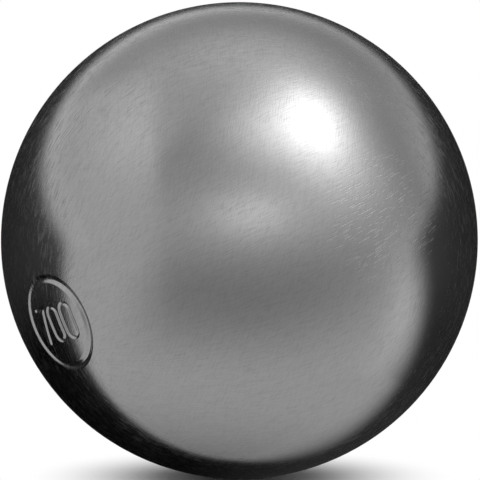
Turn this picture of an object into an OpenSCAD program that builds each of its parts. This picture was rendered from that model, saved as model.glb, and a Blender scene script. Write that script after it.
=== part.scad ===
// A hollow steel petanque boule: two forged half shells, centred on each
// other by a lip at the equator and joined by one ring of weld metal, then
// turned to a true sphere. The origin is the centre of the boule, the joint
// lies in the XY plane, and +Z points up through the upper half.

/* [Boule] */
// Outer diameter of the finished boule
boule_d = 74; // [70.5:0.5:80]
// Thickness of the steel shell
wall_t = 6.15; // [5:0.05:7.5]

/* [Welded joint] */
// Radial thickness of the centring lip on the lower half
lip_t = 2.2; // [1.6:0.1:2.8]
// Height of the centring lip above the joint plane
lip_h = 2.6; // [1.8:0.1:4]
// Radial gap between the lip and the upper half
lip_gap = 0.05; // [0.02:0.01:0.2]
// Width of the weld at its root, where it lies on the lip
weld_root_w = 1.6; // [1:0.1:2.4]
// Width of the weld at the outer surface
weld_face_w = 5; // [3.4:0.1:6]

/* [Stamped ring] */
// Diameter of the stamped ring, at the middle of its groove
ring_d = 14; // [10:0.2:15]
// Width of the ring's groove at the surface
groove_w = 1.2; // [0.8:0.1:1.8]
// Depth of the ring's groove
groove_depth = 0.3; // [0.15:0.05:0.5]
// Direction of the ring's centre, turned from the front towards +X
ring_azimuth = -51; // [-180:1:180]
// Height of the ring's centre, as an angle from the joint plane
ring_elevation = -17; // [-60:1:-17]

/* [Hidden] */

// How far a cut runs past the surface that it opens
overrun = 1;

boule_r = boule_d / 2;
cavity_r = boule_r - wall_t;

// The lip's outer face, where the root of the weld lies
lip_r = cavity_r + lip_t;

// Growth of the weld's half width for each unit of radius
weld_slope = (weld_face_w - weld_root_w) / 2 / (boule_r - lip_r);
weld_end_r = boule_r + overrun;
weld_end_half_w = weld_root_w / 2 + weld_slope * (weld_end_r - lip_r);

// Where the middle of the groove lies on the boule, seen along the ring's axis
ring_r = ring_d / 2;
ring_h = sqrt(boule_r * boule_r - ring_r * ring_r);
ring_tilt = asin(ring_r / boule_r);

// Radius of the round groove that has this width and depth
groove_r = (groove_w * groove_w / 4 + groove_depth * groove_depth) / 2 / groove_depth;

$fn = 96;

// The weld in section: a wide V with a flat root, run past the outer surface
module weld_section() {
    polygon([
        [lip_r, -weld_root_w / 2],
        [weld_end_r, -weld_end_half_w],
        [weld_end_r, weld_end_half_w],
        [lip_r, weld_root_w / 2]
    ]);
}

module weld_groove() {
    rotate_extrude() weld_section();
}

// Everything on one side of the joint plane: side is 1 above it and -1 below
module half_space(side) {
    half_r = boule_r + overrun;
    translate([0, 0, side * half_r / 2])
        cube([2 * half_r, 2 * half_r, half_r], center = true);
}

// A solid half of the boule, before it is hollowed
module half_ball(side) {
    intersection() {
        sphere(boule_r);
        half_space(side);
    }
}

module cavity() {
    sphere(cavity_r);
}

// The groove that a round-nosed ring tool presses into the boule
module stamped_ring() {
    rotate([90 - ring_elevation, 0, ring_azimuth])
        rotate_extrude()
            translate([ring_r, ring_h])
                rotate(-ring_tilt)
                    translate([0, groove_r - groove_depth])
                        circle(groove_r);
}

// The upper half, with the rebate that drops over the lower half's lip
module upper_half_shell() {
    color([0.62, 0.62, 0.63])
        difference() {
            half_ball(1);
            cavity();
            weld_groove();
            translate([0, 0, -overrun])
                cylinder(r = lip_r + lip_gap, h = lip_h + overrun);
        }
}

// The lower half, with the centring lip that stands up inside the joint
module lower_half_shell() {
    color([0.58, 0.58, 0.59])
        difference() {
            union() {
                half_ball(-1);
                translate([0, 0, -overrun])
                    cylinder(r = lip_r, h = lip_h + overrun);
            }
            cavity();
            weld_groove();
            stamped_ring();
        }
}

// The weld metal, turned flush with the shells
module weld_bead() {
    color([0.55, 0.54, 0.53])
        intersection() {
            weld_groove();
            sphere(boule_r);
        }
}

upper_half_shell();
lower_half_shell();
weld_bead();
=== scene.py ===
"""A petanque boule of satin steel, standing on a white table in a small studio.

The boule is two half shells and the weld between them. Each is drawn as one
closed surface on a grid, worked out from the few sizes in the property groups
below, in metres, with the centre of the boule at the origin and +Z up.
"""

import math

import bpy
import numpy as np
from bpy.props import FloatProperty, FloatVectorProperty, PointerProperty
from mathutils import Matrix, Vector


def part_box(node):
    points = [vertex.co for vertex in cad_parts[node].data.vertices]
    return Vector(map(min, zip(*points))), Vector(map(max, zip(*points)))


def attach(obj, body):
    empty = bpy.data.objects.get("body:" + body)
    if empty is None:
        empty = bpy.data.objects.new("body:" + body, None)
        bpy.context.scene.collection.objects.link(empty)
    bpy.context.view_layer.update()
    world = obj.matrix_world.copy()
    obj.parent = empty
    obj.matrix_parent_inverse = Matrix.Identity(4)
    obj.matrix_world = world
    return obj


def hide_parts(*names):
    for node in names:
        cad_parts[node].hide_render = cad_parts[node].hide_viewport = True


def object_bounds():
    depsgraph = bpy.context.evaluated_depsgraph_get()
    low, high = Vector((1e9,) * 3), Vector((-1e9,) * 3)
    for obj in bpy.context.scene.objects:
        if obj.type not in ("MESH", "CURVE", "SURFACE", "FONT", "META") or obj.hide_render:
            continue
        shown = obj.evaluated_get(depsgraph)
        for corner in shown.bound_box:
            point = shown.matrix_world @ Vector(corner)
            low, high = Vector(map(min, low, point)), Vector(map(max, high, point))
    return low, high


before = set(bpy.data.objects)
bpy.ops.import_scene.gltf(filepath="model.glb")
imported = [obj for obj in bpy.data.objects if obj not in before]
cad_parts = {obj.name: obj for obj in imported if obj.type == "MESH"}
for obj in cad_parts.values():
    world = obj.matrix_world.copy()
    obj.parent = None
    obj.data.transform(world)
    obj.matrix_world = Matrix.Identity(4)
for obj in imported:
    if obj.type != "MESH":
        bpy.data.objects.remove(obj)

bl_info = {
    "name": "Petanque Boule",
    "version": (1, 0, 0),
    "blender": (4, 5, 0),
    "location": "View3D > Sidebar > Boule",
    "description": "Draws the two shells and the weld of a steel boule, and a studio for it",
    "category": "Add Mesh",
}

MM = 0.001
CAD_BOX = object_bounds()
BOULE_RADIUS = min(CAD_BOX[1])
LIP_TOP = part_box("lower_half_shell")[1].z
WELD_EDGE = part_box("weld_bead")[1].z

# How finely the surfaces are drawn: the columns round the upper shell and the
# weld, and round the mark on the lower shell
SHELL_COLUMNS = 384
MARK_COLUMNS = 512
# The rows from the pole to the weld outside the upper shell and inside it, and
# across the face of the weld
UPPER_OUTER_ROWS = 110
UPPER_INNER_ROWS = 40
WELD_ROWS = 16
# The rows over the mark, from there to the weld, and inside the lower shell
MARK_ROWS = 92
LOWER_OUTER_ROWS = 62
LOWER_INNER_ROWS = 22
# The step over which the slope of the mark is taken, as a share of a stroke's width
SLOPE_STEP = 0.02
# The columns round the table and round the tent, and the rows of the tent's dome
TABLE_COLUMNS = 64
TENT_COLUMNS = 48
TENT_ROWS = 16

# The photograph's frame, and where the middle of the boule lies in it
FRAME_PIXELS = 480
BOULE_MIDDLE_PIXELS = (239.35, 240.57)
BOULE_RADIUS_PIXELS = 238.5


class BouleShape(bpy.types.PropertyGroup):
    """The sizes of the shells and of the weld."""

    radius: FloatProperty(
        name="Radius", description="Outer radius of the finished boule",
        default=BOULE_RADIUS, unit="LENGTH", precision=5)
    wall: FloatProperty(
        name="Wall", description="Thickness of the steel shell",
        default=6.15 * MM, unit="LENGTH", precision=5)
    lip_thickness: FloatProperty(
        name="Lip thickness", description="Radial thickness of the centring lip on the lower half",
        default=2.2 * MM, unit="LENGTH", precision=5)
    lip_top: FloatProperty(
        name="Lip top", description="Height of the centring lip above the joint plane",
        default=LIP_TOP, unit="LENGTH", precision=5)
    lip_gap: FloatProperty(
        name="Lip gap", description="Radial gap between the lip and the upper half",
        default=0.05 * MM, unit="LENGTH", precision=5)
    weld_edge: FloatProperty(
        name="Weld edge", description="Height at which the weld meets a shell at the surface",
        default=WELD_EDGE, unit="LENGTH", precision=5)
    weld_root: FloatProperty(
        name="Weld root", description="Width of the weld where it lies on the lip",
        default=1.6 * MM, unit="LENGTH", precision=5)


class BouleMark(bpy.types.PropertyGroup):
    """The stamped ring and the weight in grams that is engraved inside it."""

    bearing: FloatProperty(
        name="Bearing", description="Direction of the ring, turned from the front towards +X",
        default=math.radians(-51), subtype="ANGLE")
    height: FloatProperty(
        name="Height", description="Height of the ring as an angle from the joint plane",
        default=math.radians(-17), subtype="ANGLE")
    tilt: FloatProperty(
        name="Tilt", description="Slope of the figures, rising to the right",
        default=math.radians(14), subtype="ANGLE")
    ring_diameter: FloatProperty(
        name="Ring diameter", description="Diameter of the ring, at the middle of its groove",
        default=14 * MM, unit="LENGTH", precision=5)
    groove_width: FloatProperty(
        name="Groove width", description="Width of the ring's groove, lips included",
        default=1.5 * MM, unit="LENGTH", precision=5)
    groove_depth: FloatProperty(
        name="Groove depth", description="Depth of the ring's groove",
        default=0.3 * MM, unit="LENGTH", precision=5)
    figure_height: FloatProperty(
        name="Figure height", description="Height of the figures",
        default=5.4 * MM, unit="LENGTH", precision=5)
    figure_width: FloatProperty(
        name="Figure width", description="Width of one figure",
        default=2.3 * MM, unit="LENGTH", precision=5)
    figure_gap: FloatProperty(
        name="Figure gap", description="Gap between two figures",
        default=1.0 * MM, unit="LENGTH", precision=5)
    stroke_width: FloatProperty(
        name="Stroke width", description="Width of an engraved stroke",
        default=0.75 * MM, unit="LENGTH", precision=5)
    stroke_depth: FloatProperty(
        name="Stroke depth", description="Depth of an engraved stroke",
        default=0.2 * MM, unit="LENGTH", precision=5)


class BouleFinish(bpy.types.PropertyGroup):
    """The colours and the gloss of the steel."""

    shell_colour: FloatVectorProperty(
        name="Shell steel", description="Colour of the satin steel of the shells",
        default=(0.28, 0.28, 0.28), size=3, subtype="COLOR", min=0, max=1)
    weld_colour: FloatVectorProperty(
        name="Weld steel", description="Colour of the weld metal, turned with the shells",
        default=(0.28, 0.28, 0.28), size=3, subtype="COLOR", min=0, max=1)
    roughness: FloatProperty(
        name="Roughness", description="Roughness of the turned and polished surface",
        default=0.18, min=0, max=1)
    scratch_depth: FloatProperty(
        name="Scratch depth", description="Depth of a fine line of full strength",
        default=0.0038 * MM, unit="LENGTH", precision=7)


class BouleStudio(bpy.types.PropertyGroup):
    """The table, the tent of light and the camera."""

    camera_distance: FloatProperty(
        name="Camera distance", description="Distance from the camera to the middle of the boule",
        default=0.6, unit="LENGTH")
    camera_height: FloatProperty(
        name="Camera height", description="Angle of the camera above the horizon",
        default=math.radians(4.5), subtype="ANGLE")
    table_colour: FloatVectorProperty(
        name="Table", description="Colour of the white table",
        default=(0.95, 0.95, 0.95), size=3, subtype="COLOR", min=0, max=1)
    table_radius: FloatProperty(
        name="Table radius", description="Radius of the table top",
        default=5.0, unit="LENGTH")
    tent_radius: FloatProperty(
        name="Tent radius", description="Radius of the tent of light round the boule",
        default=0.8, unit="LENGTH")


def unit(arrows):
    """The same vectors at length one."""
    return arrows / np.linalg.norm(arrows, axis=-1, keepdims=True)


def bearing_vector(bearing, height):
    """The unit vector at a bearing, turned from -Y towards +X, and a height above the horizon."""
    flat = math.cos(height)
    return np.array([math.sin(bearing) * flat, -math.cos(bearing) * flat, math.sin(height)])


def full_turn(count):
    """The angles of an even run of columns round an axis."""
    return np.linspace(0, 2 * math.pi, count, endpoint=False)


def arc(radius, start, end, steps, facing=1):
    """A round stretch of a section, facing out or in.

    Its points are radius times (cosine, sine) of an even run of angles.
    """
    angle = np.linspace(start, end, steps + 1)
    out = np.stack([np.cos(angle), np.sin(angle)], axis=-1)
    return radius * out, facing * out


def edge(start, end, side):
    """A straight stretch of a section, facing a quarter turn to one side of its own direction."""
    ends = np.array([start, end])
    along = unit(ends[1] - ends[0])
    facing = side * np.array([along[1], -along[0]])
    return ends, np.stack([facing, facing])


def sweep(stretches, azimuth):
    """Carries the stretches of a section round the Z axis.

    Each point (r, z) of the section gives, at every azimuth, the point
    (r cos azimuth, r sin azimuth, z). Returns the rows of points, and for each
    band between two rows the directions that its two sides face.
    """
    around = np.stack([np.cos(azimuth), np.sin(azimuth)], axis=-1)

    def carried(pairs):
        flat = pairs[:, None, :1] * around[None]
        up = np.broadcast_to(pairs[:, None, 1:], flat[..., :1].shape)
        return np.concatenate([flat, up], axis=-1)

    rows = [carried(stretches[0][0])]
    rows += [carried(points)[1:] for points, _ in stretches[1:]]
    facings = [carried(facing) for _, facing in stretches]
    bands = [np.stack([f[:-1], f[1:]], axis=1) for f in facings]
    return np.concatenate(rows), np.concatenate(bands)


def skin(name, rows, bands, ring=False):
    """Makes a closed mesh of a grid of points whose columns run round it.

    A ring's last row joins its first. Otherwise the first and the last row are
    poles, each one point, and the bands beside them are fans of triangles.
    bands holds the shading direction of both sides of each band of faces.
    """
    count = rows.shape[1]
    if ring:
        points = rows[:-1].reshape(-1, 3)
        index = np.arange(len(points)).reshape(-1, count)
        index = np.concatenate([index, index[:1]])
        whole = bands
    else:
        points = np.concatenate([rows[:1, 0], rows[1:-1].reshape(-1, 3), rows[-1:, 0]])
        index = 1 + np.arange(len(points) - 2).reshape(-1, count)
        whole = bands[1:-1]
    following = np.roll(index, -1, axis=1)
    quads = np.stack([index[:-1], index[1:], following[1:], following[:-1]], axis=-1)
    turned = np.roll(whole, -1, axis=2)
    quad_facing = np.stack([whole[:, 0], whole[:, 1], turned[:, 1], turned[:, 0]], axis=-2)
    faces = quads.reshape(-1, 4).tolist()
    facing = [quad_facing.reshape(-1, 3)]
    if not ring:
        last = len(points) - 1
        first_fan = np.stack([np.zeros_like(index[0]), index[0], following[0]], axis=-1)
        last_fan = np.stack([index[-1], np.full_like(index[0], last), following[-1]], axis=-1)
        faces += first_fan.tolist() + last_fan.tolist()
        near, far = bands[0], bands[-1]
        near_next, far_next = np.roll(near, -1, axis=1), np.roll(far, -1, axis=1)
        facing.append(np.stack([near[0], near[1], near_next[1]], axis=-2).reshape(-1, 3))
        facing.append(np.stack([far[0], far[1], far_next[0]], axis=-2).reshape(-1, 3))
    mesh = bpy.data.meshes.new(name)
    mesh.from_pydata(points.tolist(), [], faces)
    if mesh.validate():
        raise RuntimeError(f"the grid of {name} made faulty faces")
    mesh.shade_smooth()
    mesh.normals_split_custom_set(unit(np.concatenate(facing)).tolist())
    piece = bpy.data.objects.new(name, mesh)
    bpy.context.scene.collection.objects.link(piece)
    return piece


def finish_piece(piece, node, material):
    """Gives a finished piece its material, and puts it in the place of its CAD solid."""
    piece.data.materials.append(material)
    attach(piece, "root")
    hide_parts(node)


def joint_sizes(shape):
    """The radii of the cavity, of the lip and of the shell at the edge of the weld."""
    cavity = shape.radius - shape.wall
    lip = cavity + shape.lip_thickness
    weld_rim = math.sqrt(shape.radius ** 2 - shape.weld_edge ** 2)
    return cavity, lip, weld_rim


def upper_shell(shape):
    """The upper half shell as one closed surface of revolution.

    Its section runs from the top pole down the outer sphere to the weld, in
    along the flank of the weld to the rebate, up the rebate's wall, in across
    its ceiling, and up the inner sphere to the pole of the cavity.
    """
    cavity, lip, weld_rim = joint_sizes(shape)
    rebate = lip + shape.lip_gap
    share = (rebate - lip) / (weld_rim - lip)
    flank_low = shape.weld_root / 2 + share * (shape.weld_edge - shape.weld_root / 2)
    inner_rim = math.sqrt(cavity ** 2 - shape.lip_top ** 2)
    quarter = math.pi / 2
    stretches = [
        arc(shape.radius, quarter, math.asin(shape.weld_edge / shape.radius), UPPER_OUTER_ROWS),
        edge((weld_rim, shape.weld_edge), (rebate, flank_low), -1),
        edge((rebate, flank_low), (rebate, shape.lip_top), -1),
        edge((rebate, shape.lip_top), (inner_rim, shape.lip_top), -1),
        arc(cavity, math.asin(shape.lip_top / cavity), quarter, UPPER_INNER_ROWS, facing=-1),
    ]
    return skin("upper_shell", *sweep(stretches, full_turn(SHELL_COLUMNS)))


def weld_ring(shape):
    """The weld as a closed ring.

    Its section is a wide V, with its flat root on the lip, its flanks on the
    two shells and its outer face on the sphere, carried round the Z axis.
    """
    _, lip, weld_rim = joint_sizes(shape)
    root = shape.weld_root / 2
    angle = math.asin(shape.weld_edge / shape.radius)
    stretches = [
        arc(shape.radius, angle, -angle, WELD_ROWS),
        edge((weld_rim, -shape.weld_edge), (lip, -root), -1),
        edge((lip, -root), (lip, root), -1),
        edge((lip, root), (weld_rim, shape.weld_edge), -1),
    ]
    return skin("weld_ring", *sweep(stretches, full_turn(SHELL_COLUMNS)), ring=True)


def groove(distance, width, depth):
    """The depth of a round-lipped groove: a raised cosine of the distance from its middle."""
    share = np.clip(np.abs(distance) / (width / 2), 0, 1)
    return depth * (1 + np.cos(math.pi * share)) / 2


def to_segment(x, y, start, end):
    """Distance from each point to the straight line between two points."""
    along = np.subtract(end, start)
    reach = ((x - start[0]) * along[0] + (y - start[1]) * along[1]) / (along @ along)
    reach = np.clip(reach, 0, 1)
    return np.hypot(x - start[0] - reach * along[0], y - start[1] - reach * along[1])


def seven(x, y, wide, high):
    """Distance to a 7: its bar along the top, and one stroke down to a third of its width."""
    bar = to_segment(x, y, (0, high), (wide, high))
    return np.minimum(bar, to_segment(x, y, (wide, high), (wide / 3, 0)))


def nought(x, y, wide, high):
    """Distance to a 0: the outline round an upright line, half a width away from it."""
    middle = to_segment(x, y, (wide / 2, wide / 2), (wide / 2, high - wide / 2))
    return np.abs(middle - wide / 2)


def mark_depth(x, y, shape, mark):
    """Depth of the mark below the sphere, at distances x and y along it from the mark's middle.

    The ring's groove runs at one distance from the middle, and the three
    figures stand side by side, centred in the ring.
    """
    ring = shape.radius * math.asin(mark.ring_diameter / 2 / shape.radius)
    depth = groove(np.hypot(x, y) - ring, mark.groove_width, mark.groove_depth)
    wide, high = mark.figure_width, mark.figure_height
    step = wide + mark.figure_gap
    left, foot = -wide / 2 - step, -high / 2
    strokes = seven(x - left, y - foot, wide, high)
    for place in (1, 2):
        strokes = np.minimum(strokes, nought(x - left - place * step, y - foot, wide, high))
    return np.maximum(depth, groove(strokes, mark.stroke_width, mark.stroke_depth))


def lower_shell(shape, mark):
    """The lower half shell as one closed surface, on a grid that spreads out from the mark.

    A point lies at an angle rho from the middle of the mark, in the direction
    psi round it, on the sphere less the depth of the mark. The first rows are
    close together, to draw the ring and the figures. The others spread evenly
    to the edge of the weld, at the rho where the height rises to that edge.
    From there each column goes in along the flank, up and over the lip, and
    down the inner sphere to the pole of the cavity.
    """
    cavity, lip, weld_rim = joint_sizes(shape)
    middle = bearing_vector(mark.bearing, mark.height)
    level = unit(np.cross((0, 0, 1), middle))
    upright = np.cross(middle, level)
    right = math.cos(mark.tilt) * level + math.sin(mark.tilt) * upright
    up = np.cross(middle, right)
    psi = full_turn(MARK_COLUMNS)[None, :, None]
    heading = np.cos(psi) * right + np.sin(psi) * up

    rise = heading[0, :, 2]
    crest = np.arctan2(rise, middle[2]) % (2 * math.pi)
    reach = np.hypot(rise, middle[2])
    weld_rho = crest - np.arccos(-shape.weld_edge / shape.radius / reach)
    mark_rho = (mark.ring_diameter / 2 + mark.groove_width) / shape.radius
    near = np.linspace(0, mark_rho, MARK_ROWS + 1)[:, None] + 0 * weld_rho
    spread = np.linspace(0, 1, LOWER_OUTER_ROWS + 1)[1:, None]
    rho = np.concatenate([near, mark_rho + spread * (weld_rho - mark_rho)])[..., None]

    out = np.cos(rho) * middle + np.sin(rho) * heading
    onward = np.cos(rho) * heading - np.sin(rho) * middle
    sideways = np.cross(out, onward)
    x_way = np.cos(psi) * onward - np.sin(psi) * sideways
    y_way = np.sin(psi) * onward + np.cos(psi) * sideways
    x = (shape.radius * rho * np.cos(psi))[..., 0]
    y = (shape.radius * rho * np.sin(psi))[..., 0]
    depth = mark_depth(x, y, shape, mark)[..., None]
    nudge = SLOPE_STEP * mark.stroke_width
    x_slope = mark_depth(x + nudge, y, shape, mark) - mark_depth(x - nudge, y, shape, mark)
    y_slope = mark_depth(x, y + nudge, shape, mark) - mark_depth(x, y - nudge, shape, mark)
    slope = (x_slope[..., None] * x_way + y_slope[..., None] * y_way) / (2 * nudge)
    outer = (shape.radius - depth) * out
    facing = unit(out + slope)

    quarter = math.pi / 2
    root = shape.weld_root / 2
    inner_rim = math.sqrt(cavity ** 2 - shape.lip_top ** 2)
    stretches = [
        edge((weld_rim, -shape.weld_edge), (lip, -root), 1),
        edge((lip, -root), (lip, shape.lip_top), 1),
        edge((lip, shape.lip_top), (inner_rim, shape.lip_top), 1),
        arc(cavity, math.asin(shape.lip_top / cavity), -quarter, LOWER_INNER_ROWS, facing=-1),
    ]
    azimuth = np.arctan2(outer[-1, :, 1], outer[-1, :, 0])
    inner, inner_bands = sweep(stretches, azimuth)
    rows = np.concatenate([outer, inner[1:]])
    bands = np.concatenate([np.stack([facing[:-1], facing[1:]], axis=1), inner_bands])
    return skin("lower_shell", rows, bands)


def add_node(tree, kind, inputs=(), **settings):
    """Adds a node, sets its settings, and fills or links its inputs by name or place."""
    node = tree.nodes.new(kind)
    for key, value in settings.items():
        setattr(node, key, value)
    for key, value in dict(inputs).items():
        if isinstance(value, bpy.types.NodeSocket):
            tree.links.new(value, node.inputs[key])
        else:
            node.inputs[key].default_value = value
    return node


def maths(tree, operation, first, second=0.0, third=0.0):
    """One Math node's result."""
    inputs = {0: first, 1: second, 2: third}
    return add_node(tree, "ShaderNodeMath", inputs, operation=operation).outputs[0]


def vectors(tree, operation, *values, **named):
    """One Vector Math node's vector."""
    inputs = {**dict(enumerate(values)), **named}
    return add_node(tree, "ShaderNodeVectorMath", inputs, operation=operation).outputs["Vector"]


def vector_length(tree, vector):
    """The length of a vector."""
    return add_node(tree, "ShaderNodeVectorMath", {0: vector}, operation="LENGTH").outputs["Value"]


def dot(tree, first, second):
    """The dot product of two vectors."""
    inputs = {0: first, 1: second}
    return add_node(tree, "ShaderNodeVectorMath", inputs, operation="DOT_PRODUCT").outputs["Value"]


def ramp(tree, value, low, high, start=0.0, end=1.0, smooth=True):
    """Maps a value from low..high to start..end, with soft ends unless smooth is off."""
    kind = "SMOOTHSTEP" if smooth else "LINEAR"
    inputs = {"Value": value, "From Min": low, "From Max": high, "To Min": start, "To Max": end}
    return add_node(tree, "ShaderNodeMapRange", inputs, interpolation_type=kind).outputs["Result"]


def radii(span, radius):
    """A span that is given in radii of the boule, in metres."""
    return [share * radius for share in span]


def make_group(name, inputs, outputs):
    """Starts a node group with named float and vector sockets."""
    tree = bpy.data.node_groups.new(name, "ShaderNodeTree")
    for socket, kind in inputs.items():
        tree.interface.new_socket(socket, in_out="INPUT", socket_type=f"NodeSocket{kind}")
    for socket, kind in outputs.items():
        tree.interface.new_socket(socket, in_out="OUTPUT", socket_type=f"NodeSocket{kind}")
    start = tree.nodes.new("NodeGroupInput")
    end = tree.nodes.new("NodeGroupOutput")
    return tree, start.outputs, end.inputs


def start_material(name):
    """A new material with an empty node tree, and the Object coordinates that it reads."""
    material = bpy.data.materials.new(name)
    material.use_nodes = True
    tree = material.node_tree
    tree.nodes.clear()
    return material, tree, add_node(tree, "ShaderNodeTexCoord").outputs["Object"]


# The reach from its axis, in radii, over which a grain that runs along it fades in
GRAIN_FADE = (0.2, 0.6)


def grain_group():
    """The node group of a fine grain on the sphere, of long thin spots of noise.

    Where Round is one, the lines run round the axis: the noise is read at
    coordinates that change fast along the axis, and slowly across it. Where it
    is nought they run from one end of the axis to the other: the coordinates
    change slowly along the axis, and fast with the direction round it, and the
    grain fades out at both ends, where its lines would meet.
    """
    found = bpy.data.node_groups.get("fine_grain")
    if found:
        return found
    tree, given, result = make_group(
        "fine_grain",
        {"Vector": "Vector", "Axis": "Vector", "Round": "Float", "Width": "Float", "Length": "Float"},
        {"Noise": "Float"})
    height = dot(tree, given["Vector"], given["Axis"])
    risen = vectors(tree, "SCALE", given["Axis"], Scale=height)
    level = vectors(tree, "SUBTRACT", given["Vector"], risen)
    turned = vectors(tree, "SCALE", vectors(tree, "NORMALIZE", level), Scale=BOULE_RADIUS)
    fast = maths(tree, "DIVIDE", 1.0, given["Width"])
    slow = maths(tree, "DIVIDE", 1.0, given["Length"])
    round_it = vectors(
        tree, "ADD", vectors(tree, "SCALE", risen, Scale=fast), vectors(tree, "SCALE", level, Scale=slow))
    along_it = vectors(
        tree, "ADD", vectors(tree, "SCALE", risen, Scale=slow), vectors(tree, "SCALE", turned, Scale=fast))
    place = add_node(
        tree, "ShaderNodeMix", {0: given["Round"], 4: along_it, 5: round_it}, data_type="VECTOR").outputs[1]
    noise = add_node(tree, "ShaderNodeTexNoise", {"Vector": place, "Scale": 1.0, "Detail": 1.0})
    clear = ramp(tree, vector_length(tree, level), *radii(GRAIN_FADE, BOULE_RADIUS))
    fade = maths(tree, "MAXIMUM", clear, given["Round"])
    tree.links.new(maths(tree, "MULTIPLY", noise.outputs[0], fade), result["Noise"])
    return tree


def grain(tree, place, axis, round_it, width, length):
    """Adds a grain to a material, by the width and length of its lines, and returns its noise."""
    node = add_node(tree, "ShaderNodeGroup", node_tree=grain_group())
    tree.links.new(place, node.inputs["Vector"])
    node.inputs["Axis"].default_value = tuple(unit(np.array(axis)))
    node.inputs["Round"].default_value = float(round_it)
    node.inputs["Width"].default_value = width
    node.inputs["Length"].default_value = length
    return node.outputs["Noise"]


# The grains of the steel: the axis, whether the lines run round it or along it,
# and the width and length of a line. The boule was rubbed from its left a
# little upwards to its right
RUBBING = ((0.87, 0.3, 0.4), False, 0.2 * MM, 2 * MM)
LAST_TURNING = ((-0.12, 0.98, 0.12), True, 0.16 * MM, 2.4 * MM)
LEVEL_TURNING = ((-0.28, -0.2, 0.94), True, 0.17 * MM, 1.8 * MM)
UPRIGHT_TURNING = ((0.94, 0.2, -0.28), True, 0.17 * MM, 1.8 * MM)
# The noise that counts as a line, and the share of each grain in the lines
LINE_SPAN = (0.35, 0.75)
RUBBING_SHARE = 0.6
LAST_SHARE = 0.8
LEVEL_SHARE = 0.3
UPRIGHT_SHARE = 0.58
# The last turning is clearest in a belt round the sides, and fades towards the
# ends of its axis
BELT_SPAN = (0.45, 0.8)
BELT = (1.0, 0.2)
# What the lines do to the colour and to the roughness
TONE_SPAN = (0.3, 1.7)
TONE = (1.075, 0.855)
DULL_SPAN = (0.74, 1.64)
DULLED = 0.11
# Where the steel shows wear, and where its strokes carry painted glints: faintly
# in wide patches, and most in one rubbed spot, whose bearing and height are in
# degrees. The spot fades in over a span of the cosine of the angle from its middle
PATCH_SIZE = 11 * MM
PATCH_SPAN = (0.5, 0.7)
PATCH_WEAR = 0.08
SPOT_BEARING = 36
SPOT_HEIGHT = 9
SPOT_SPAN = (0.94, 0.99)
# The strokes there, and how much paler, rougher and deeper than the lines they are.
# Their paler colour is a painted glint; their roughness and depth are real cuts
STROKE_SPAN = (0.58, 0.7)
STROKE_GLINT_TONE = 0.17
STROKE_ROUGHNESS = 0.28
STROKE_DEPTH = 2.1
# The rougher lines of the last turning, in the belt alone
SCORE_SPAN = (0.57, 0.7)
SCORE_BELT_SPAN = (0.4, 1.0)
SCORE_ROUGHNESS = 0.15


def share_along(tree, place, axis):
    """How far a point lies along an axis, in radii: one at the axis's end and nought beside it."""
    return dot(tree, place, tuple(unit(np.array(axis)) / BOULE_RADIUS))


def steel_material(name, colour, finish):
    """Satin steel: turned, polished, and lightly scratched every way.

    The lines are the sum of four grains, each by its share. They darken the
    colour a little, dull the gloss and raise the bump, which is turned over, so
    that they are cut in. The strokes of the rubbing do more where the steel
    shows wear, and so do the lines of the last turning round the sides. The
    strokes are also painted paler there, as painted glints.
    """
    material, tree, place = start_material(name)
    rubbed = grain(tree, place, *RUBBING)
    last = grain(tree, place, *LAST_TURNING)
    level = grain(tree, place, *LEVEL_TURNING)
    upright = grain(tree, place, *UPRIGHT_TURNING)
    ahead = maths(tree, "ABSOLUTE", share_along(tree, place, LAST_TURNING[0]))
    belt = ramp(tree, ahead, *BELT_SPAN, *BELT)
    last_share = maths(tree, "MULTIPLY", belt, LAST_SHARE)
    lines = maths(tree, "MULTIPLY", ramp(tree, rubbed, *LINE_SPAN), RUBBING_SHARE)
    for noise, share in ((last, last_share), (level, LEVEL_SHARE), (upright, UPRIGHT_SHARE)):
        lines = maths(tree, "MULTIPLY_ADD", ramp(tree, noise, *LINE_SPAN), share, lines)

    patches = add_node(
        tree, "ShaderNodeTexNoise", {"Vector": place, "Scale": 1 / PATCH_SIZE, "Detail": 1.0}).outputs[0]
    spot_middle = bearing_vector(math.radians(SPOT_BEARING), math.radians(SPOT_HEIGHT))
    spot = share_along(tree, place, spot_middle)
    wear_and_glint = maths(
        tree, "MAXIMUM", ramp(tree, patches, *PATCH_SPAN, 0.0, PATCH_WEAR), ramp(tree, spot, *SPOT_SPAN))
    strokes = maths(tree, "MULTIPLY", ramp(tree, rubbed, *STROKE_SPAN), wear_and_glint)
    scored = maths(tree, "MULTIPLY", ramp(tree, last, *SCORE_SPAN), ramp(tree, belt, *SCORE_BELT_SPAN))

    tone = ramp(tree, lines, *TONE_SPAN, *TONE, smooth=False)
    # Painted glints: the strokes are painted paler than the steel round them
    tone = maths(tree, "MULTIPLY_ADD", strokes, STROKE_GLINT_TONE, tone)
    base = vectors(tree, "SCALE", (*colour,), Scale=tone)
    gloss = ramp(tree, lines, *DULL_SPAN, finish.roughness, finish.roughness + DULLED, smooth=False)
    gloss = maths(tree, "MULTIPLY_ADD", strokes, STROKE_ROUGHNESS, gloss)
    gloss = maths(tree, "MULTIPLY_ADD", scored, SCORE_ROUGHNESS, gloss)
    depth = maths(tree, "MULTIPLY_ADD", strokes, STROKE_DEPTH, lines)
    bump = add_node(
        tree, "ShaderNodeBump", {"Strength": 1.0, "Distance": finish.scratch_depth, "Height": depth},
        invert=True)
    shader = add_node(tree, "ShaderNodeBsdfPrincipled", {
        "Base Color": base, "Metallic": 1.0, "Roughness": gloss, "Normal": bump.outputs[0]})
    add_node(tree, "ShaderNodeOutputMaterial", {"Surface": shader.outputs[0]})
    return material


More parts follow.
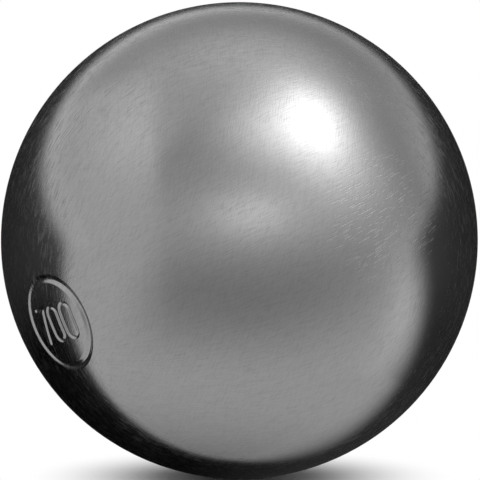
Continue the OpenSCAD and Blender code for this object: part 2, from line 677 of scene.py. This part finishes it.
def light_pool_group():
    """The node group of one soft pool of light in the tent.

    Its level falls off as a bell curve of how far the direction lies from the
    pool's middle, across it and up it, each against the pool's own spread. A
    Left or Right above one keeps the level even on that side of the middle, and
    ends it there with a steep edge.
    """
    found = bpy.data.node_groups.get("light_pool")
    if found:
        return found
    tree, given, result = make_group(
        "light_pool",
        {"Direction": "Vector", "Middle": "Vector", "Across": "Vector", "Up": "Vector",
         "Width": "Float", "Height": "Float", "Left": "Float", "Right": "Float", "Level": "Float"},
        {"Light": "Float"})
    ahead = dot(tree, given["Direction"], given["Middle"])
    across = maths(tree, "DIVIDE", dot(tree, given["Direction"], given["Across"]), given["Width"])
    up = maths(tree, "DIVIDE", dot(tree, given["Direction"], given["Up"]), given["Height"])
    to_left = maths(tree, "LESS_THAN", across, 0.0)
    left_over_right = maths(tree, "SUBTRACT", given["Left"], given["Right"])
    power = maths(tree, "MULTIPLY_ADD", to_left, left_over_right, given["Right"])
    reach = maths(tree, "POWER", maths(tree, "MULTIPLY", across, across), power)
    spread = maths(tree, "MULTIPLY_ADD", up, up, reach)
    bell = maths(tree, "EXPONENT", maths(tree, "MULTIPLY", spread, -0.5))
    faced = maths(tree, "MULTIPLY", bell, maths(tree, "GREATER_THAN", ahead, 0.0))
    tree.links.new(maths(tree, "MULTIPLY", faced, given["Level"]), result["Light"])
    return tree


# The pools of light and of shade in the tent: bearing and height of the middle,
# spread across and up, tilt, all in degrees, how steeply it ends to the left and
# to the right, and the level added to the white
POOLS = {
    "key": (61, 56, 9, 12, -35, 1, 1, 3.1),
    "key_glow": (39, 52, 18, 11, -32, 1, 1, 1.45),
    "glow_foot": (54, 28, 14, 9, 0, 1, 1, 0.3),
    "overhead": (140, 82, 26, 20, 0, 1, 1, 0.38),
    "front_light": (6, 17, 13, 7, 0, 1, 1, 0.75),
    "lens_shade": (18, -15, 53, 13, 6, 6, 1, -0.44),
    "lens_core": (8, -27, 20, 7, 0, 1, 1, -0.07),
    "column_shade": (-33, 56, 17, 25, 20, 6, 1, -0.45),
    "left_window": (-72, 47, 18, 15, 10, 1, 4, 0.3),
    "left_shade": (-110, 24, 22, 12, 0, 1, 1, -0.1),
    "right_shade": (93, 23, 14, 22, 0, 1, 2, -0.25),
    "right_fill": (95, -22, 13, 14, -30, 1, 1, 1.25),
    "back_left": (-165, 46, 26, 14, 0, 1, 5, -0.4),
    "back_right": (135, 42, 27, 13, 0, 1, 1, -0.35),
    "back_rim": (-165, 27, 34, 4, 0, 1, 1, 0.45),
}
# The black card behind the boule: how far in front of the middle it starts and
# how soft that edge is, from left to right, each over its own span of a
# direction's X, and the slope of its top edge, in the middle and at its ends
CARD_START_SPAN = (0.2, 0.9)
CARD_START = (15.5 * MM, 10.5 * MM)
CARD_SOFT_SPAN = (-0.1, 0.5)
CARD_SOFTNESS = (0.015, 0.2)
CARD_SLOPE_SPAN = (0.1, 0.7)
CARD_SLOPE = (0.46, 0.57)
CARD_TOP_SOFTNESS = 0.07
# Its level is painted light and shade on the card: paler near its edges than far
# behind, and darker at the table, at the left more than at the right
CARD_LEVEL_SPAN = (0.3, 0.95)
CARD_LEVEL = (0.085, 0.02)
CARD_FOOT_SPAN = (-0.3, 0.4)
CARD_FOOT_SHARE = (0.05, 0.45)
CARD_FOOT_HEIGHT = (-0.5, -0.05)
# The window in the tent's floor, through which the boule mirrors the table: the
# height below which it opens and how far it reaches, in radii of the boule
WINDOW_TOP = -0.9
WINDOW_REACH = 1.15


def tent_material(shape):
    """White cloth with soft pools of light and shade, and a black card behind."""
    material, tree, place = start_material("tent_cloth")
    direction = vectors(tree, "NORMALIZE", place)
    level = 1.0
    for name, (bearing, height, wide, high, tilt, left, right, light) in POOLS.items():
        middle = bearing_vector(math.radians(bearing), math.radians(height))
        sideways = unit(np.cross((0, 0, 1), middle))
        upward = np.cross(middle, sideways)
        turn = math.radians(tilt)
        pool = add_node(tree, "ShaderNodeGroup", node_tree=light_pool_group())
        pool.label = name
        tree.links.new(direction, pool.inputs["Direction"])
        pool.inputs["Middle"].default_value = tuple(middle)
        pool.inputs["Across"].default_value = tuple(math.cos(turn) * sideways + math.sin(turn) * upward)
        pool.inputs["Up"].default_value = tuple(math.cos(turn) * upward - math.sin(turn) * sideways)
        pool.inputs["Width"].default_value = math.sin(math.radians(wide))
        pool.inputs["Height"].default_value = math.sin(math.radians(high))
        pool.inputs["Left"].default_value = left
        pool.inputs["Right"].default_value = right
        pool.inputs["Level"].default_value = light
        level = maths(tree, "ADD", pool.outputs["Light"], level)

    way = add_node(tree, "ShaderNodeSeparateXYZ", {0: direction}).outputs
    spot = add_node(tree, "ShaderNodeSeparateXYZ", {0: place}).outputs
    far = vector_length(tree, place)
    sideways_reach = maths(tree, "ABSOLUTE", way["X"])
    start = ramp(tree, way["X"], *CARD_START_SPAN, *CARD_START)
    soft = ramp(tree, way["X"], *CARD_SOFT_SPAN, *CARD_SOFTNESS)
    slope = ramp(tree, sideways_reach, *CARD_SLOPE_SPAN, *CARD_SLOPE, smooth=False)
    behind = maths(tree, "DIVIDE", maths(tree, "ADD", spot["Y"], start), maths(tree, "MULTIPLY", soft, far))
    below = maths(tree, "SUBTRACT", maths(tree, "MULTIPLY", slope, way["Y"]), way["Z"])
    # The black card is no object: it is a dark stretch painted into the tent's glow, a painted dark
    # reflection that only the boule's reflection shows
    card = maths(
        tree, "MULTIPLY", ramp(tree, behind, -1.0, 1.0),
        ramp(tree, below, -CARD_TOP_SOFTNESS, CARD_TOP_SOFTNESS))
    level = maths(tree, "MAXIMUM", level, 0.0)
    open_cloth = maths(tree, "MULTIPLY", level, maths(tree, "SUBTRACT", 1.0, card))
    foot = ramp(tree, way["X"], *CARD_FOOT_SPAN, *CARD_FOOT_SHARE)
    # Painted light and shade on the black card: paler near its edges, darker at the table and to the left
    black = maths(
        tree, "MULTIPLY", ramp(tree, way["Y"], *CARD_LEVEL_SPAN, *CARD_LEVEL, smooth=False),
        ramp(tree, way["Z"], *CARD_FOOT_HEIGHT, foot, 1.0))
    level = maths(tree, "MULTIPLY_ADD", card, black, open_cloth)
    cloth = add_node(tree, "ShaderNodeEmission", {"Strength": level})

    low = maths(tree, "LESS_THAN", spot["Z"], WINDOW_TOP * shape.radius)
    flat = maths(tree, "SQRT", maths(
        tree, "MULTIPLY_ADD", spot["X"], spot["X"], maths(tree, "MULTIPLY", spot["Y"], spot["Y"])))
    close = maths(tree, "LESS_THAN", flat, WINDOW_REACH * shape.radius)
    front = maths(tree, "SUBTRACT", 1.0, ramp(tree, behind, -1.0, 1.0))
    window = maths(tree, "MULTIPLY", maths(tree, "MULTIPLY", low, close), front)
    clear = add_node(tree, "ShaderNodeBsdfTransparent")
    mix = add_node(tree, "ShaderNodeMixShader", {0: window, 1: cloth.outputs[0], 2: clear.outputs[0]})
    add_node(tree, "ShaderNodeOutputMaterial", {"Surface": mix.outputs[0]})
    material.cycles.emission_sampling = "NONE"
    return material


# The level of the white table where the boule mirrors it, the light that falls
# on the table, and the way from the middle of the mirrored shadow to the boule
MIRRORED_WHITE = 0.92
LAMP_COLOUR = (0.8, 0.8, 0.8)
SHADOW_LEAN = (4 * MM, -2 * MM, 0)
# The reach over which the shadow fades out, as the camera sees it and as the boule
# mirrors it, in radii of the boule
SHADOW_SPAN = (0.27, 0.92)
MIRRORED_SHADOW_SPAN = (0.15, 1.05)
TABLE_THICKNESS = 10 * MM
# The gap between the table and the floor of the tent
TENT_GAP = 0.1 * MM


def seen_directly(tree):
    """One for a ray from the camera, or one that metal or glass sends on, and otherwise nought."""
    light = add_node(tree, "ShaderNodeLightPath").outputs
    return maths(tree, "MAXIMUM", light["Is Camera Ray"], mirrored(tree))


def mirrored(tree):
    """One for a ray that metal or glass sends on, and otherwise nought."""
    light = add_node(tree, "ShaderNodeLightPath").outputs
    return maths(tree, "MAXIMUM", light["Is Glossy Ray"], light["Is Transmission Ray"])


def table_material(studio, shape):
    """A white table that keeps the boule's shadow near it and is plain white further out."""
    material, tree, place = start_material("white_table")
    flat = vectors(tree, "MULTIPLY", place, (1, 1, 0))
    leaning = vectors(tree, "ADD", flat, SHADOW_LEAN)
    seen = add_node(tree, "ShaderNodeLightPath").outputs["Is Camera Ray"]
    clear = ramp(tree, vector_length(tree, flat), *radii(SHADOW_SPAN, shape.radius))
    clear_mirrored = ramp(tree, vector_length(tree, leaning), *radii(MIRRORED_SHADOW_SPAN, shape.radius))
    share = maths(
        tree, "MULTIPLY_ADD", clear_mirrored, mirrored(tree), maths(tree, "MULTIPLY", clear, seen))
    matt = add_node(tree, "ShaderNodeBsdfDiffuse", {"Color": (*studio.table_colour, 1)})
    level = ramp(tree, seen, 0.0, 1.0, MIRRORED_WHITE, 1.0, smooth=False)
    white = add_node(tree, "ShaderNodeEmission", {"Strength": level})
    mix = add_node(tree, "ShaderNodeMixShader", {0: share, 1: matt.outputs[0], 2: white.outputs[0]})
    add_node(tree, "ShaderNodeOutputMaterial", {"Surface": mix.outputs[0]})
    material.cycles.emission_sampling = "NONE"
    return material


def studio_world():
    """A plain pale light from all round, which the camera sees as white."""
    world = bpy.data.worlds.new("studio_light")
    world.use_nodes = True
    tree = world.node_tree
    tree.nodes.clear()
    white = add_node(tree, "ShaderNodeBackground", {"Color": (1, 1, 1, 1)})
    lamp = add_node(tree, "ShaderNodeBackground", {"Color": (*LAMP_COLOUR, 1)})
    shaders = {0: seen_directly(tree), 1: lamp.outputs[0], 2: white.outputs[0]}
    mix = add_node(tree, "ShaderNodeMixShader", shaders)
    add_node(tree, "ShaderNodeOutputWorld", {"Surface": mix.outputs[0]})
    world.cycles.sampling_method = "NONE"
    bpy.context.scene.world = world


def stage_disc(name, section, columns, material):
    """A surface of revolution for the stage, from its section of (r, z) points."""
    rows, bands = sweep([(section, np.zeros_like(section) + (0, 1))], full_turn(columns))
    surface = skin(name, rows, bands)
    surface.data.materials.append(material)
    return surface


def build_studio(shape, studio):
    """The table, the tent, the light and the camera."""
    floor = -shape.radius
    table = stage_disc(
        "table", np.array([(0, floor), (studio.table_radius, floor), (0, floor - TABLE_THICKNESS)]),
        TABLE_COLUMNS, table_material(studio, shape))
    table.visible_shadow = False

    low = floor + TENT_GAP
    angle = np.linspace(math.asin(low / studio.tent_radius), math.pi / 2, TENT_ROWS + 1)
    dome = studio.tent_radius * np.stack([np.cos(angle), np.sin(angle)], axis=-1)
    section = np.concatenate([[(0, low)], dome])
    tent = stage_disc("light_tent", section, TENT_COLUMNS, tent_material(shape))
    for ray in ("camera", "diffuse", "transmission", "volume_scatter", "shadow"):
        setattr(tent, f"visible_{ray}", False)
    studio_world()

    focal_pixels = BOULE_RADIUS_PIXELS / math.tan(math.asin(shape.radius / studio.camera_distance))
    camera = bpy.data.objects.new("camera", bpy.data.cameras.new("camera"))
    camera.data.lens = camera.data.sensor_width * focal_pixels / FRAME_PIXELS
    away = Vector(bearing_vector(0, studio.camera_height))
    camera.location = studio.camera_distance * away
    pixel = studio.camera_distance / focal_pixels
    across = Vector((1, 0, 0))
    aim = across * (FRAME_PIXELS / 2 - BOULE_MIDDLE_PIXELS[0]) * pixel
    aim += away.cross(across) * (BOULE_MIDDLE_PIXELS[1] - FRAME_PIXELS / 2) * pixel
    camera.rotation_mode = "QUATERNION"
    camera.rotation_quaternion = (aim - camera.location).to_track_quat("-Z", "Y")
    camera.data.clip_start = studio.camera_distance / 10
    camera.data.clip_end = 2 * studio.table_radius
    bpy.context.scene.collection.objects.link(camera)
    bpy.context.scene.camera = camera
    bpy.context.scene.view_settings.view_transform = "Standard"


class BOULE_OT_upper_shell(bpy.types.Operator):
    """Draw the upper half shell"""

    bl_idname = "boule.upper_shell"
    bl_label = "Upper shell"

    def execute(self, context):
        scene = context.scene
        steel = steel_material("upper_shell_steel", scene.boule_finish.shell_colour, scene.boule_finish)
        finish_piece(upper_shell(scene.boule_shape), "upper_half_shell", steel)
        return {"FINISHED"}


class BOULE_OT_lower_shell(bpy.types.Operator):
    """Draw the lower half shell, with its stamped ring and its weight"""

    bl_idname = "boule.lower_shell"
    bl_label = "Lower shell"

    def execute(self, context):
        scene = context.scene
        steel = steel_material("lower_shell_steel", scene.boule_finish.shell_colour, scene.boule_finish)
        shell = lower_shell(scene.boule_shape, scene.boule_mark)
        finish_piece(shell, "lower_half_shell", steel)
        return {"FINISHED"}


class BOULE_OT_weld_ring(bpy.types.Operator):
    """Draw the ring of weld metal that joins the shells"""

    bl_idname = "boule.weld_ring"
    bl_label = "Weld ring"

    def execute(self, context):
        scene = context.scene
        steel = steel_material("weld_ring_steel", scene.boule_finish.weld_colour, scene.boule_finish)
        finish_piece(weld_ring(scene.boule_shape), "weld_bead", steel)
        return {"FINISHED"}


class BOULE_OT_studio(bpy.types.Operator):
    """Set up the white table, the tent of light and the camera"""

    bl_idname = "boule.studio"
    bl_label = "Studio"

    def execute(self, context):
        build_studio(context.scene.boule_shape, context.scene.boule_studio)
        return {"FINISHED"}


class BOULE_PT_sidebar(bpy.types.Panel):
    """Lists the boule's sizes and colours, and a button for each piece"""

    bl_idname = "BOULE_PT_sidebar"
    bl_label = "Petanque Boule"
    bl_space_type = "VIEW_3D"
    bl_region_type = "UI"
    bl_category = "Boule"

    def draw(self, context):
        for name, group in SETTINGS.items():
            box = self.layout.box()
            for key in group.__annotations__:
                box.prop(getattr(context.scene, name), key)
        for operator in OPERATORS:
            self.layout.operator(operator.bl_idname)


SETTINGS = {
    "boule_shape": BouleShape,
    "boule_mark": BouleMark,
    "boule_finish": BouleFinish,
    "boule_studio": BouleStudio,
}
OPERATORS = (BOULE_OT_studio, BOULE_OT_upper_shell, BOULE_OT_lower_shell, BOULE_OT_weld_ring)


def register():
    """Registers the settings, the operators and the panel."""
    for name, group in SETTINGS.items():
        bpy.utils.register_class(group)
        setattr(bpy.types.Scene, name, PointerProperty(type=group))
    for operator in (*OPERATORS, BOULE_PT_sidebar):
        bpy.utils.register_class(operator)


def unregister():
    """Takes away what register added."""
    for operator in (BOULE_PT_sidebar, *reversed(OPERATORS)):
        bpy.utils.unregister_class(operator)
    for name, group in reversed(SETTINGS.items()):
        delattr(bpy.types.Scene, name)
        bpy.utils.unregister_class(group)


def main():
    """Draws the studio and the boule."""
    register()
    bpy.ops.boule.studio()
    bpy.ops.boule.upper_shell()
    bpy.ops.boule.lower_shell()
    bpy.ops.boule.weld_ring()


if __name__ == "__main__":
    main()
